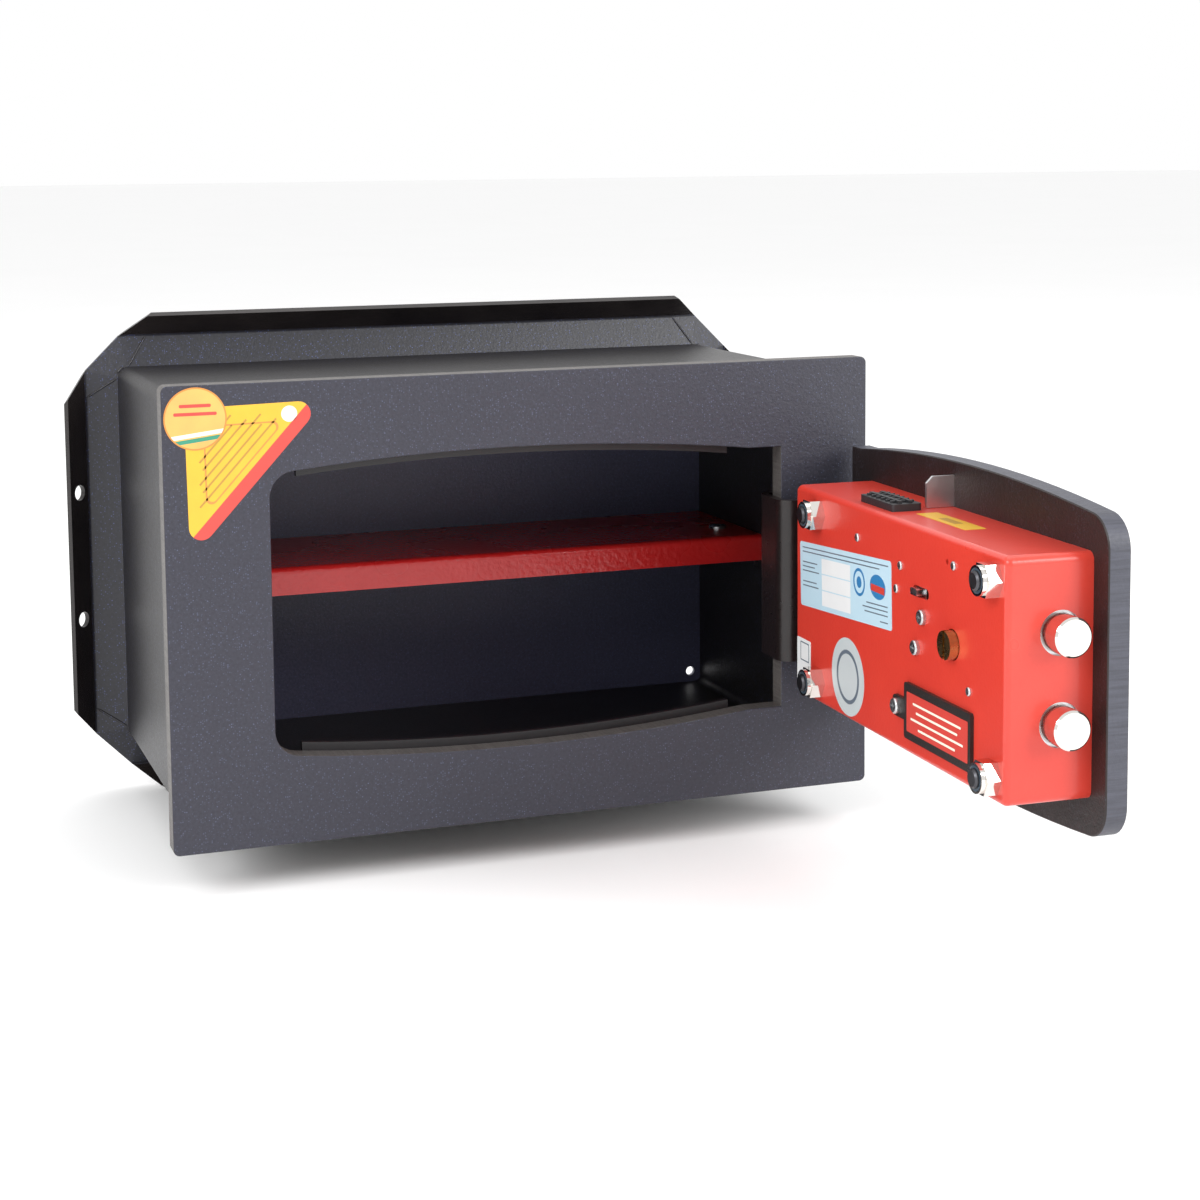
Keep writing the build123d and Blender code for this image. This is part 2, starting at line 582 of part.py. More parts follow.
with BuildPart() as pinion:
    base_r = PITCH_R * cos(PRESSURE)
    root_r, tip_r = PITCH_R - 1.3 * MODULE, PITCH_R + 0.95 * MODULE
    half_pitch = (TOOTH_PITCH / 2 - BACKLASH) / (2 * PITCH_R)
    flank = []
    for k in range(5):
        r = max(base_r, root_r) + (tip_r - max(base_r, root_r)) * k / 4
        flank.append((r, half_pitch + involute(PRESSURE) - involute(acos(base_r / r))))
    outline = []
    for tooth in range(TEETH):
        middle = 2 * pi * (tooth + 0.5) / TEETH
        left = [(root_r, middle - flank[0][1])] + [(r, middle - a) for r, a in flank]
        right = [(r, middle + a) for r, a in reversed(flank)] + [(root_r, middle + flank[0][1])]
        outline += left + right
    with BuildSketch(depth(PINION_Y0 + RACK_T - 0.6)):
        with BuildLine():
            Polyline(*[(SPINDLE_X + r * cos(a), SPINDLE_Z + r * sin(a)) for r, a in outline], close=True)
        make_face()
        with Locations((SPINDLE_X, SPINDLE_Z)):
            Circle(SPINDLE_R, mode=Mode.SUBTRACT)
    extrude(amount=RACK_T - 0.6)
save(pinion, "pinion", on_door=True)

KNOB_BACK = -PLATE_T - 3
with BuildPart() as spindle:
    with BuildSketch(depth(SPINDLE_END)):
        with Locations((SPINDLE_X, SPINDLE_Z)):
            Circle(SPINDLE_R)
    extrude(amount=SPINDLE_END - KNOB_BACK + 10)
    with BuildSketch(depth(SPINDLE_END)):
        with Locations((SPINDLE_X, SPINDLE_Z)):
            Rectangle(1.6, 2 * SPINDLE_R + 1)
    extrude(amount=1.8, mode=Mode.SUBTRACT)
save(spindle, "spindle", on_door=True)

with BuildPart() as knob:
    with BuildSketch(depth(KNOB_BACK)):
        with Locations((SPINDLE_X, SPINDLE_Z)):
            Circle(KNOB_R)
            with PolarLocations(KNOB_R + 2.2, 12):
                Circle(3.6, mode=Mode.SUBTRACT)
    extrude(amount=KNOB_D)
    fillet(knob.faces().sort_by(Axis.Y)[0].edges(), 1.5)
    with BuildSketch(depth(KNOB_BACK)):
        with Locations((SPINDLE_X, SPINDLE_Z)):
            Circle(SPINDLE_R)
    extrude(amount=10, mode=Mode.SUBTRACT)
save(knob, "knob", on_door=True)

with BuildPart() as knob_ring:
    with BuildSketch(depth(-PLATE_T)):
        with Locations((SPINDLE_X, SPINDLE_Z)):
            Circle(KNOB_R + 5)
            Circle(SPINDLE_R + 0.5, mode=Mode.SUBTRACT)
    extrude(amount=2.5)
    fillet(knob_ring.faces().sort_by(Axis.Y)[0].edges().sort_by(SortBy.LENGTH)[-1], 1.5)
save(knob_ring, "knob_ring", on_door=True)

# ---- solenoid latch: its plunger drops into a notch of the carrier ----
with BuildPart() as solenoid_body:
    with BuildSketch(Plane.XY.offset(SOLENOID_Z)):
        with Locations((SOLENOID_X, CARRIER_Y + CARRIER_T / 2)):
            Rectangle(18, 16)
            Circle(3.3, mode=Mode.SUBTRACT)
    extrude(amount=16)
    with BuildSketch(Plane.XY.offset(SOLENOID_Z + 13.5)):
        with Locations((SOLENOID_X, CARRIER_Y + CARRIER_T / 2)):
            Rectangle(18, 16)
    extrude(amount=2.5)
    with BuildSketch(depth(CARRIER_Y + CARRIER_T / 2 - 8)):
        with Locations((SOLENOID_X, SOLENOID_Z + 8)):
            Rectangle(14, 12)
    extrude(amount=CARRIER_Y + CARRIER_T / 2 - 8 - DOOR_BACK)
save(solenoid_body, "solenoid_body", on_door=True)

with BuildPart() as solenoid_plunger:
    with BuildSketch(Plane.XY.offset(PLATE_HIGH + 0.6)):
        with Locations((SOLENOID_X, CARRIER_Y + CARRIER_T / 2)):
            Circle(3)
    extrude(amount=SOLENOID_Z + 8 - PLATE_HIGH)
    chamfer(solenoid_plunger.faces().sort_by(Axis.Z)[0].edges(), 0.5)
save(solenoid_plunger, "solenoid_plunger", on_door=True)

# ---- battery bay and electronics ----
BAY_X, BAY_Z = sum(BATTERY_X) / 2, sum(BATTERY_Z) / 2
with BuildPart() as battery_door:
    with BuildSketch(depth(COVER_FACE + 1.6)):
        with Locations((BAY_X, BAY_Z)):
            RectangleRounded(BATTERY_X[1] - BATTERY_X[0], BATTERY_Z[1] - BATTERY_Z[0], 1.5)
        with Locations((BATTERY_X[1] + 5, BAY_Z)):
            RectangleRounded(12, 9, 2)
    extrude(amount=1.6)
    with BuildSketch(depth(COVER_FACE)):
        with Locations((CELL_X, CELL_Z)):
            Rectangle(CELL_W + 1, CELL_H + 1)
    extrude(amount=1.5)
save(battery_door, "battery_door", on_door=True)

screw_heads([(BATTERY_X[1] + 7, BAY_Z)], COVER_FACE + 1.6, 3.4, 2, 0.9, "battery_door_screw")

TRAY_Y0 = DOOR_BACK + 8
TRAY_Y1 = COVER_FACE - COVER_T
with BuildPart() as battery_tray:
    with BuildSketch(depth(TRAY_Y1)):
        with Locations((CELL_X, CELL_Z)):
            Rectangle(CELL_W + 3.6, CELL_H + 3.6)
    extrude(amount=TRAY_Y1 - TRAY_Y0)
    with BuildSketch(depth(TRAY_Y1)):
        with Locations((CELL_X, CELL_Z)):
            Rectangle(CELL_W + 1.2, CELL_H + 1.2)
    extrude(amount=TRAY_Y1 - TRAY_Y0 - 1.2, mode=Mode.SUBTRACT)
    with BuildSketch(depth(TRAY_Y0)):
        with Locations((CELL_X - 16, CELL_Z), (CELL_X + 16, CELL_Z)):
            Circle(3)
    extrude(amount=TRAY_Y0 - DOOR_BACK)
save(battery_tray, "battery_tray", on_door=True)

with BuildPart() as battery:
    with BuildSketch(depth(TRAY_Y0 + 1.2 + CELL_D)):
        with Locations((CELL_X + 0.8, CELL_Z)):
            RectangleRounded(CELL_W - 2, CELL_H, 2)
    extrude(amount=CELL_D)
    with BuildSketch(Plane.YZ.offset(CELL_X - CELL_W / 2)):
        with Locations((TRAY_Y0 + 18, CELL_Z - 4), (TRAY_Y0 + 18, CELL_Z + 4)):
            Circle(2.6)
    extrude(amount=2.5)
save(battery, "battery", on_door=True)

with BuildPart() as circuit_board:
    with BuildSketch(depth(12)):
        with Locations((34, 2)):
            Rectangle(58, 60)
            with GridLocations(50, 52, 2, 2):
                Circle(1.6, mode=Mode.SUBTRACT)
    extrude(amount=1.6)
    with BuildSketch(depth(14.5)):
        with Locations((30, 6)):
            Rectangle(14, 14)
        with Locations((50, -14), (20, -16)):
            Rectangle(9, 6)
    extrude(amount=2.5)
save(circuit_board, "circuit_board", on_door=True)

with BuildPart() as board_spacers:
    for dx in (-25, 25):
        for dz in (-26, 26):
            with BuildSketch(depth(10.4)):
                with Locations((34 + dx, 2 + dz)):
                    Circle(3)
            extrude(amount=10.4 - DOOR_BACK - (ARM_T if dx > 0 else 0))
save(board_spacers, "board_spacers", on_door=True)

with BuildPart() as cable_connector:
    with BuildSketch(Plane.XY.offset(COVER_HALF)):
        with Locations((22, 24)):
            RectangleRounded(34, 14, 1.5)
    extrude(amount=3.2)
    with BuildSketch(Plane.XY.offset(COVER_HALF + 3.2)):
        with Locations((22, 24)):
            with GridLocations(0, 5, 1, 2):
                Rectangle(30, 1.8)
    extrude(amount=1.2)
    with BuildSketch(Plane.XY.offset(COVER_HALF)):
        with Locations((22, 24)):
            Rectangle(29, 9)
    extrude(amount=-8)
save(cable_connector, "cable_connector", on_door=True)

with BuildPart() as cover_tab:
    with BuildSketch(Plane.YZ.offset(9)):
        with BuildLine():
            Polyline((DOOR_BACK, COVER_HALF + 0.2), (13, COVER_HALF + 0.2), (13, COVER_HALF + 11),
                     (10, COVER_HALF + 14), (DOOR_BACK, COVER_HALF + 14), close=True)
        make_face()
    extrude(amount=1.5)
save(cover_tab, "cover_tab", on_door=True)

with BuildPart() as reset_lever:
    with BuildSketch(depth(COVER_FACE + 2)):
        with Locations((-33, 22)):
            RectangleRounded(6, 3, 0.8)
    extrude(amount=6)
    with BuildSketch(depth(COVER_FACE - COVER_T - 0.4)):
        with Locations((-33, 22)):
            Rectangle(9, 7)
    extrude(amount=1.4)
save(reset_lever, "reset_lever", on_door=True)

# ---- keypad, status lens and override lock on the outer face ----
PAD_FACE = -PLATE_T - PAD_D
with BuildPart() as keypad_housing:
    with BuildSketch(depth(-PLATE_T)):
        with Locations((PAD_X, PAD_Z)):
            RectangleRounded(PAD_W, PAD_H, 10)
    extrude(amount=PAD_D)
    fillet(keypad_housing.faces().sort_by(Axis.Y)[0].edges(), 3)
    with BuildSketch(depth(PAD_FACE + 1)):
        with Locations((PAD_X, PAD_Z)):
            RectangleRounded(PAD_W - 12, PAD_H - 12, 6)
    extrude(amount=1.01, mode=Mode.SUBTRACT)
    with BuildSketch(depth(PAD_FACE + 1)):
        with Locations((PAD_X, PAD_Z - 5)):
            with GridLocations(KEY_PITCH_X, KEY_PITCH_Z, 4, 3):
                Rectangle(KEY_W + 0.8, KEY_H + 0.8)
        with Locations((PAD_X, PAD_Z + 25)):
            Rectangle(20.4, 4.4)
    extrude(amount=-6, mode=Mode.SUBTRACT)
save(keypad_housing, "keypad_housing", on_door=True)

with BuildPart() as status_lens:
    with BuildSketch(depth(PAD_FACE + 6)):
        with Locations((PAD_X, PAD_Z + 25)):
            Rectangle(20.2, 4.2)
    extrude(amount=5.4)
save(status_lens, "status_lens", on_door=True)

KEYS = [(col, row) for row in range(3) for col in range(4)]
for number, (col, row) in enumerate(KEYS, start=1):
    with BuildPart() as key:
        with BuildSketch(depth(PAD_FACE + 4.5)):
            with Locations((PAD_X + (col - 1.5) * KEY_PITCH_X, PAD_Z - 5 + (1 - row) * KEY_PITCH_Z)):
                RectangleRounded(KEY_W, KEY_H, 2)
        extrude(amount=5)
        fillet(key.faces().sort_by(Axis.Y)[0].edges(), 0.8)
    save(key, f"key_{number:02d}", on_door=True)

with BuildPart() as override_lock:
    with BuildSketch(depth(-PLATE_T)):
        with Locations((LOCK_X, LOCK_Z)):
            Circle(10)
    extrude(amount=3)
    fillet(override_lock.faces().sort_by(Axis.Y)[0].edges(), 1)
    with BuildSketch(depth(DOOR_BACK + 0.5)):
        with Locations((LOCK_X, LOCK_Z)):
            Circle(6.4)
    extrude(amount=PLATE_T + DOOR_BACK + 1)
    with BuildSketch(depth(DOOR_BACK + 2)):
        with Locations((LOCK_X, LOCK_Z)):
            Circle(4.05)
    extrude(amount=DOOR_BACK + 2 + PLATE_T + 4, mode=Mode.SUBTRACT)
save(override_lock, "override_lock", on_door=True)

with BuildPart() as lock_plug:
    with BuildSketch(depth(DOOR_BACK + 0.5)):
        with Locations((LOCK_X, LOCK_Z)):
            Circle(4)
    extrude(amount=DOOR_BACK + 0.5 + PLATE_T + 3.6)
    with BuildSketch(depth(-PLATE_T - 3.6)):
        with Locations((LOCK_X, LOCK_Z)):
            Rectangle(5, 1.4)
    extrude(amount=-5, mode=Mode.SUBTRACT)
save(lock_plug, "lock_plug", on_door=True)
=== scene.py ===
import json
import math
import random

import bmesh
import bpy
from mathutils import Matrix, Vector


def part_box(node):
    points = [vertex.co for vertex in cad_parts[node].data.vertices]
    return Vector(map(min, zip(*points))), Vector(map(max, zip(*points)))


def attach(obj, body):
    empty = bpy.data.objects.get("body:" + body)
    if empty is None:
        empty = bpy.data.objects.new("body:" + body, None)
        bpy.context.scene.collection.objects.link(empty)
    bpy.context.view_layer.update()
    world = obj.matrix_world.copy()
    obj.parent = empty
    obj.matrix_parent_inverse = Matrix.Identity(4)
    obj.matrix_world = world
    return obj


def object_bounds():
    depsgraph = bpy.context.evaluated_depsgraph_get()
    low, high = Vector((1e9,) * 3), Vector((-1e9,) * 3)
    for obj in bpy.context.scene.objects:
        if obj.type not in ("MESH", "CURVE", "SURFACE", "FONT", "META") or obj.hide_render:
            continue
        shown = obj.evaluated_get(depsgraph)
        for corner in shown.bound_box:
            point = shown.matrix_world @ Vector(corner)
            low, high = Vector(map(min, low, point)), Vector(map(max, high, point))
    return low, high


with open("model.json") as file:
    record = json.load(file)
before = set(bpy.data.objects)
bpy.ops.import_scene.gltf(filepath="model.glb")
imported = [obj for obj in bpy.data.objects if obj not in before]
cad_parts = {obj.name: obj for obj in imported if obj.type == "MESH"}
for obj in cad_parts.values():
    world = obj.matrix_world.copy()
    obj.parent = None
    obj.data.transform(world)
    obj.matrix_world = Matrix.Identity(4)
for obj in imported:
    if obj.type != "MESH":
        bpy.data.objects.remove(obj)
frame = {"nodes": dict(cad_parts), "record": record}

cad_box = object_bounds()
scene = bpy.context.scene
rng = random.Random(11)
MM = 0.001

# ---------------------------------------------------------------- camera
YAW, PITCH, ROLL = math.radians(19.737), math.radians(5.952), math.radians(-0.533)
forward = Vector((math.sin(YAW) * math.cos(PITCH), math.cos(YAW) * math.cos(PITCH), -math.sin(PITCH)))
level = Vector((math.cos(YAW), -math.sin(YAW), 0))
upward = level.cross(forward)
right = level * math.cos(ROLL) + upward * math.sin(ROLL)
top = upward * math.cos(ROLL) - level * math.sin(ROLL)
camera = bpy.data.objects.new("camera", bpy.data.cameras.new("camera"))
scene.collection.objects.link(camera)
turn = Matrix((right, top, -forward)).transposed().to_4x4()
camera.matrix_world = Matrix.Translation((-0.32564, -1.00965, 0.20539)) @ turn
camera.data.sensor_width = 36
camera.data.lens = 68.96
camera.data.shift_y = -0.175
camera.data.clip_start, camera.data.clip_end = 0.05, 60
scene.camera = camera

# ---------------------------------------------------------------- places on the object
joints = {j["name"]: j for j in frame["record"]["behaviour"]["joints"]}
pivot = Vector(joints["door_hinge"]["pos_m"])
swing = math.radians(-joints["door_hinge"]["range_deg"][0])
door_m = Matrix.Translation(pivot) @ Matrix.Rotation(swing, 4, "Z") @ Matrix.Translation(-pivot)
shut_m = door_m.inverted()


def shut_box(*names):
    """The lowest and highest corner of door nodes with the door shut, in millimetres."""
    corners = [shut_m @ v.co for n in names for v in frame["nodes"][n].data.vertices]
    return [1000 * min(c[i] for c in corners) for i in range(3)], [1000 * max(c[i] for c in corners) for i in range(3)]


plate_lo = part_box("front_plate")[0]
body_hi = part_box("body_shell")[1]
cover_hi = shut_box("lock_cover")[1]
tray_hi = shut_box("battery_door")[1]
knob_lo, knob_hi = shut_box("knob")
link_lo, link_hi = shut_box("cable_connector")


def on_plate(a, b, d):
    """A point on the front plate: a to the right and b up from its centre, d proud, in millimetres."""
    return Vector((a * MM, plate_lo.y - d * MM, b * MM))


def on_cover(a, b, d):
    """A point on the lock cover's face, with the door shut."""
    return door_m @ Vector((a * MM, (cover_hi[1] + d) * MM, b * MM))


def on_bay(a, b, d):
    """A point on the battery door's face."""
    return door_m @ Vector((a * MM, (tray_hi[1] + d) * MM, b * MM))


def on_cover_top(a, b, d):
    """A point on the top wall of the cover: a along X and b along Y with the door shut."""
    return door_m @ Vector((a * MM, b * MM, (cover_hi[2] + d) * MM))


def on_knob(a, b, d):
    """A point on the knob's face."""
    return door_m @ Vector((a * MM, (knob_lo[1] - d) * MM, b * MM))


# ---------------------------------------------------------------- material kit
class Graph:
    """A small helper that wires one node material."""

    def __init__(self, name):
        self.mat = bpy.data.materials.new(name)
        self.mat.use_nodes = True
        self.tree = self.mat.node_tree
        self.shader = self.tree.nodes["Principled BSDF"]
        self.coords = self.tree.nodes.new("ShaderNodeTexCoord")

    def add(self, kind, inputs, **props):
        node = self.tree.nodes.new(kind)
        for key, value in props.items():
            setattr(node, key, value)
        for key, value in inputs.items():
            self.wire(value, node.inputs[key])
        return node

    def wire(self, value, socket):
        if isinstance(value, bpy.types.NodeSocket):
            self.tree.links.new(value, socket)
        else:
            socket.default_value = value

    def place(self, scale=(1, 1, 1), turn_z=0.0, origin=(0, 0, 0)):
        """Object coordinates moved to origin, turned about Z and then scaled."""
        moved = self.add("ShaderNodeVectorMath", {0: self.coords.outputs["Object"], 1: origin},
                         operation="SUBTRACT")
        spun = self.add("ShaderNodeVectorRotate", {"Vector": moved.outputs[0], "Angle": turn_z},
                        rotation_type="Z_AXIS")
        sized = self.add("ShaderNodeVectorMath", {0: spun.outputs[0], 1: scale}, operation="MULTIPLY")
        return sized.outputs[0]

    def noise(self, scale, detail=3.0, rough=0.55, vector=None):
        node = self.add("ShaderNodeTexNoise", {
            "Vector": vector or self.coords.outputs["Object"], "Scale": scale, "Detail": detail,
            "Roughness": rough})
        return node.outputs["Fac"]

    def cells(self, scale, vector=None):
        node = self.add("ShaderNodeTexVoronoi",
                        {"Vector": vector or self.coords.outputs["Object"], "Scale": scale})
        return node

    def span(self, value, lo, hi, to_lo=0.0, to_hi=1.0):
        node = self.add("ShaderNodeMapRange", {
            "Value": value, "From Min": lo, "From Max": hi, "To Min": to_lo, "To Max": to_hi})
        return node.outputs["Result"]

    def math(self, operation, a, b=0.0):
        return self.add("ShaderNodeMath", {0: a, 1: b}, operation=operation).outputs[0]

    def mix(self, factor, a, b):
        def full(c):
            return c if isinstance(c, bpy.types.NodeSocket) else (*c, 1)
        node = self.add("ShaderNodeMix", {0: factor, 6: full(a), 7: full(b)}, data_type="RGBA")
        return node.outputs[2]

    def bump(self, height, strength, distance, normal=None):
        inputs = {"Height": height, "Strength": strength, "Distance": distance}
        if normal:
            inputs["Normal"] = normal
        return self.add("ShaderNodeBump", inputs).outputs["Normal"]

    def facing(self, axis, turn_z=0.0):
        """How squarely a surface faces along an axis of its own piece, 0 to 1, either way."""
        normal = self.coords.outputs["Normal"]
        if turn_z:
            spun = self.add("ShaderNodeVectorRotate", {"Vector": normal, "Angle": turn_z},
                            rotation_type="Z_AXIS")
            normal = spun.outputs[0]
        split = self.add("ShaderNodeSeparateXYZ", {0: normal})
        return self.math("ABSOLUTE", split.outputs[axis])

    def finish(self, colour, rough, metal=0.0, normal=None, **extra):
        self.wire(colour if isinstance(colour, bpy.types.NodeSocket) else (*colour, 1),
                  self.shader.inputs["Base Color"])
        self.wire(rough, self.shader.inputs["Roughness"])
        self.shader.inputs["Metallic"].default_value = metal
        if normal:
            self.wire(normal, self.shader.inputs["Normal"])
        for key, value in extra.items():
            self.shader.inputs[key.replace("_", " ")].default_value = value
        return self.mat


def powder(name, colour, deep, rough=(0.38, 0.55), grain=900, relief=0.25, speck=None, edge=None,
           turn_z=0.0, **extra):
    """Textured powder coat with fine grain, faint clouding, optional blue flecks and optional sawn edges."""
    g = Graph(name)
    fine = g.noise(grain, 4, 0.6)
    cloud = g.noise(9, 3, 0.5)
    tone = g.mix(g.span(fine, 0.3, 0.7), deep, colour)
    tone = g.mix(g.span(cloud, 0.35, 0.75, 0.0, 0.35), tone, deep)
    if speck:
        flecks = g.cells(1100)
        near = g.span(flecks.outputs["Distance"], 0.1, 0.4, 1.0, 0.0)
        lucky = g.add("ShaderNodeSeparateColor", {0: flecks.outputs["Color"]}).outputs[0]
        tone = g.mix(g.math("MULTIPLY", near, g.span(lucky, 0.55, 1.0, 0.0, 0.9)), tone, speck)
    gloss = g.span(g.math("ADD", fine, g.math("MULTIPLY", cloud, 0.6)), 0.5, 1.1, rough[0], rough[1])
    height = g.math("ADD", fine, g.math("MULTIPLY", g.noise(grain * 0.3, 2), 0.7))
    normal = g.bump(height, relief, 0.0004)
    if edge:
        cut = g.noise(1.0, 3, 0.6, g.place((850, 40, 850), turn_z))
        sawn = g.mix(g.span(cut, 0.35, 0.7), edge, tuple(c * 0.62 for c in edge))
        side = g.span(g.facing(1, turn_z), 0.35, 0.65, 1.0, 0.0)
        tone = g.mix(side, tone, sawn)
        normal = g.bump(cut, 0.3, 0.0004, normal)
    return g.finish(tone, gloss, normal=normal, **extra)


def rimmed(name, colour, deep, speck):
    """Blue-black flecked paint on the flared band, and a smoother, unflecked brown-black on the folded rim, made
    darker there as painted shade, with dim streaks as painted reflections.
    """
    g = Graph(name)
    fine = g.noise(700, 4, 0.6)
    # streak noise: relief in the bump, and painted reflection streaks in the rim colour
    streak_relief_and_reflection = g.noise(1.0, 4, 0.6, g.place((25, 25, 25)))
    flecks = g.cells(1000)
    near = g.span(flecks.outputs["Distance"], 0.1, 0.4, 1.0, 0.0)
    lucky = g.add("ShaderNodeSeparateColor", {0: flecks.outputs["Color"]}).outputs[0]
    band = g.mix(g.span(fine, 0.3, 0.7), deep, colour)
    band = g.mix(g.math("MULTIPLY", near, g.span(lucky, 0.55, 1.0, 0.0, 0.9)), band, speck)
    # rim colour: darker brown-black as painted shade on the rim faces turned away from the light; the streak mix in it
    # is painted reflection
    rim = g.mix(g.span(streak_relief_and_reflection, 0.35, 0.7), (0.020, 0.016, 0.015), (0.008, 0.006, 0.006))
    # mask by how the surface faces: picks out the rim faces that get the painted shade
    folded = g.span(g.facing(1), 0.78, 0.88, 1.0, 0.0)
    gloss = g.mix(folded, (0.36, 0.36, 0.36), (0.26, 0.26, 0.26))
    return g.finish(g.mix(folded, band, rim), gloss,
                    normal=g.bump(g.math("ADD", fine, streak_relief_and_reflection), 0.3, 0.0004))


def peel(name, colour, deep, rough=(0.2, 0.32), grain=420, relief=0.18, **extra):
    """Glossy orange-peel paint."""
    g = Graph(name)
    dimple = g.noise(grain, 2, 0.4)
    cloud = g.noise(14, 3)
    tone = g.mix(g.span(cloud, 0.3, 0.7), colour, deep)
    tone = g.mix(g.span(dimple, 0.25, 0.5, 0.35, 0.0), tone, deep)
    gloss = g.span(cloud, 0.3, 0.7, rough[0], rough[1])
    return g.finish(tone, gloss, normal=g.bump(dimple, relief, 0.0006), **extra)


def metal(name, colour, rough=(0.15, 0.3), stretch=(1, 1, 1), grain=260, relief=0.05, tint=0.75):
    """Bare or plated metal with handling marks and fine lines along its grain."""
    g = Graph(name)
    lines = g.noise(grain, 4, 0.6, g.place(stretch))
    smudge = g.noise(70, 4, 0.6)
    tone = g.mix(g.span(smudge, 0.35, 0.7), colour, tuple(c * tint for c in colour))
    gloss = g.span(g.math("ADD", lines, smudge), 0.7, 1.3, rough[0], rough[1])
    return g.finish(tone, gloss, 1.0, g.bump(lines, relief, 0.0003))


def turned(name, colour, centre, rough=(0.2, 0.34)):
    """Turned metal: rings about an axis that lies along X at the door's rest position."""
    g = Graph(name)
    local = g.place((1, 1, 1), -swing - math.pi / 2, centre)
    rings = g.add("ShaderNodeTexWave", {
        "Vector": local, "Scale": 420, "Distortion": 0.6, "Detail": 2}, wave_type="RINGS",
        rings_direction="Y")
    smudge = g.noise(160, 4)
    tone = g.mix(g.span(smudge, 0.35, 0.7), colour, tuple(c * 0.6 for c in colour))
    return g.finish(tone, g.span(smudge, 0.3, 0.7, *rough), 1.0, g.bump(rings.outputs["Fac"], 0.15, 0.0002))


def plastic(name, colour, rough=(0.4, 0.55), grain=1100, relief=0.12, **extra):
    """Moulded plastic with a fine spark-eroded texture."""
    g = Graph(name)
    fine = g.noise(grain, 3)
    cloud = g.noise(30, 3)
    tone = g.mix(g.span(cloud, 0.3, 0.7), colour, tuple(c * 0.8 for c in colour))
    return g.finish(tone, g.span(fine, 0.3, 0.7, *rough), normal=g.bump(fine, relief, 0.0002), **extra)


def paper(name, colour, edge, rough=0.3):
    """Printed film label: faint ink mottling and fibre, with a light coat."""
    g = Graph(name)
    ink = g.noise(90, 4)
    fibre = g.noise(1500, 2)
    tone = g.mix(g.span(ink, 0.3, 0.75, 0.0, 0.5), colour, edge)
    gloss = g.span(fibre, 0.3, 0.7, rough, rough + 0.14)
    return g.finish(tone, gloss, normal=g.bump(fibre, 0.05, 0.0001), Coat_Weight=0.25)


